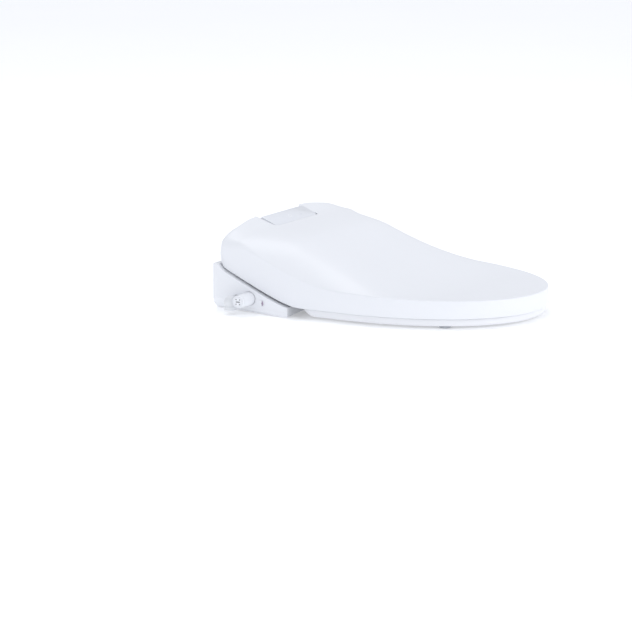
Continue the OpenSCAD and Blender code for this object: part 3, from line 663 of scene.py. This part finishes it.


# ---------------------------------------------------------------- painted shade on the left side: the cap's slot and dots and the release button's edge
SHADE_LIFT = 0.08
SHADE_THICKNESS = 0.3
SLOT_HALF_W = 3.8
SLOT_HALF_H = 0.75
DOT_Y = 3.4
DOT_Z = 3.8
DOT_R = 0.95
BUTTON_Y = -64.0
BUTTON_Z = 19.5
CRESCENT_R = 4.75
CRESCENT_DEPTH = 5.2
CRESCENT_HALF_TURN = math.radians(75)


def plate_x(name, x, points, thickness, material):
    """A thin plate square to X; its points are (y, z)."""
    rings = [[(x + dx, y, z) for y, z in points] for dx in (0.0, thickness)]
    return skin(name, rings, looped=False, cap=True, material=material)


def disc_points(y, z, radius, turns=20):
    return [(y + radius * math.cos(2 * math.pi * i / turns), z + radius * math.sin(2 * math.pi * i / turns))
            for i in range(turns)]


def paint_side_shade(materials):
    """Painted shade: dark sheets on the cap's face where its slot and dots are shaded, and a mauve crescent of
    painted shade at the release button's edge, where its side wall and the gap round it are shaded.
    """
    low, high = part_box("filter_cap")
    face, y, z = low[0] / MM, (low[1] + high[1]) / 2 / MM, (low[2] + high[2]) / 2 / MM
    # Painted shade: dark sheets laid just proud of the cap's face over its slot and dots, standing in for the
    # shade inside these recesses.
    shade = materials["slot_shade"]
    slot = [(y + a * SLOT_HALF_W, z + b * SLOT_HALF_H) for a, b in ((-1, -1), (1, -1), (1, 1), (-1, 1))]
    pieces = [plate_x("cap_slot_shade", face - SHADE_LIFT, slot, SHADE_THICKNESS, shade)]
    for i, (a, b) in enumerate(((-1, -1), (-1, 1), (1, -1), (1, 1))):
        dot = disc_points(y + DOT_Y * a, z + DOT_Z * b, DOT_R)
        pieces.append(plate_x("cap_dot_%d" % (i + 1), face - SHADE_LIFT, dot, SHADE_THICKNESS, shade))
    for piece in pieces:
        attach(piece, "filter")
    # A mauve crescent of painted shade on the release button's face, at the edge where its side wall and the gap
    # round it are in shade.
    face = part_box("release_button")[0][0] / MM
    steps = 24
    outer = []
    inner = []
    for i in range(steps + 1):
        g = CRESCENT_HALF_TURN * (2 * i / steps - 1)
        reach = CRESCENT_R - CRESCENT_DEPTH * (1 - (abs(g) / CRESCENT_HALF_TURN) ** 2.2)
        outer.append((BUTTON_Y - CRESCENT_R * math.cos(g), BUTTON_Z + CRESCENT_R * math.sin(g)))
        inner.append((BUTTON_Y - reach * math.cos(g), BUTTON_Z + reach * math.sin(g)))
    crescent = strip_x("button_edge_shade", face - 0.06, outer, inner, 0.2, materials["mauve_edge_shade"])
    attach(crescent, "button")


def strip_x(name, x, outer, inner, thickness, material):
    """A thin closed band between two rows of (y, z) points."""
    count = len(outer)
    verts = [((x + dx) * MM, y * MM, z * MM) for dx in (0.0, thickness) for row in (outer, inner) for y, z in row]
    faces = []
    for i in range(count - 1):
        a, b, c, d = i, i + 1, count + i + 1, count + i
        faces.append((a, b, c, d))
        faces.append(tuple(2 * count + v for v in (d, c, b, a)))
        faces.append((a, 2 * count + a, 2 * count + b, b))
        faces.append((d, c, 2 * count + c, 2 * count + d))
    mesh = bpy.data.meshes.new(name)
    mesh.from_pydata(verts, [], faces)
    mesh.validate()
    tidy_normals(mesh)
    mesh.materials.append(material)
    piece = bpy.data.objects.new(name, mesh)
    bpy.context.collection.objects.link(piece)
    return piece


# ---------------------------------------------------------------- finish of the CAD nodes that stay
BEVELS = {
    "upper_casing": 1.6, "base_casing": 0.8, "filter_cap": 0.45, "inlet_elbow": 0.5,
    "release_button": 0.6, "seat_hinge_arms": 1.2, "lid_hinge_ears": 0.8, "mounting_plate": 0.5,
    "bolt_adjusters": 0.4, "cord_gland": 0.6, "nozzle_door": 0.4, "dryer_flap": 0.35,
    "seat_bumpers": 0.8, "lid_bumpers": 1.0, "casing_screws": 0.3, "grip_pad": 0.3,
    "deodorizer_cartridge": 0.5, "hinge_shafts": 0.4, "inlet_body": 0.6, "heater_tank": 1.0,
    "fan_housing": 0.5, "dryer_duct": 0.5, "deodorizer_housing": 0.5, "solenoid_valve": 0.5,
    "flow_sensor": 0.5, "nozzle_motor": 0.5, "diverter_valve": 0.5, "diverter_motor": 0.5,
    "seat_damper": 0.5, "lid_damper": 0.5, "nozzle_guide": 0.4,
}


def soften(node, width):
    """Rounds a CAD node's sharp edges with modifiers; its mesh stays as it is."""
    piece = frame["nodes"][node]
    weld = piece.modifiers.new("weld", "WELD")
    weld.merge_threshold = 0.00001
    bevel = piece.modifiers.new("bevel", "BEVEL")
    bevel.width = width * MM
    bevel.segments = 3
    bevel.limit_method = "ANGLE"
    bevel.angle_limit = math.radians(35)
    bevel.use_clamp_overlap = True
    bevel.harden_normals = False


def finish_nodes(materials):
    slots = {s["node"]: s["material_slot"] for s in frame["record"]["subparts"]}
    for node, piece in frame["nodes"].items():
        material = materials[slots[node]]
        piece.data.materials.clear()
        piece.data.materials.append(material)
    for node, width in BEVELS.items():
        soften(node, width)


def main():
    make_camera()
    materials = make_materials()
    make_world(0.8)
    make_floor(floor_material())
    make_light("key", 0, 22, 2.8, 1.8, 17)
    make_light("fill", -95, 10, 3.0, 2.0, 7)
    make_light("top", 150, 65, 2.8, 1.8, 15)
    finish_nodes(materials)
    make_lid(materials["white_plastic"])
    make_seat(materials["seat_plastic"])
    make_panel(materials)
    paint_side_shade(materials)


main()
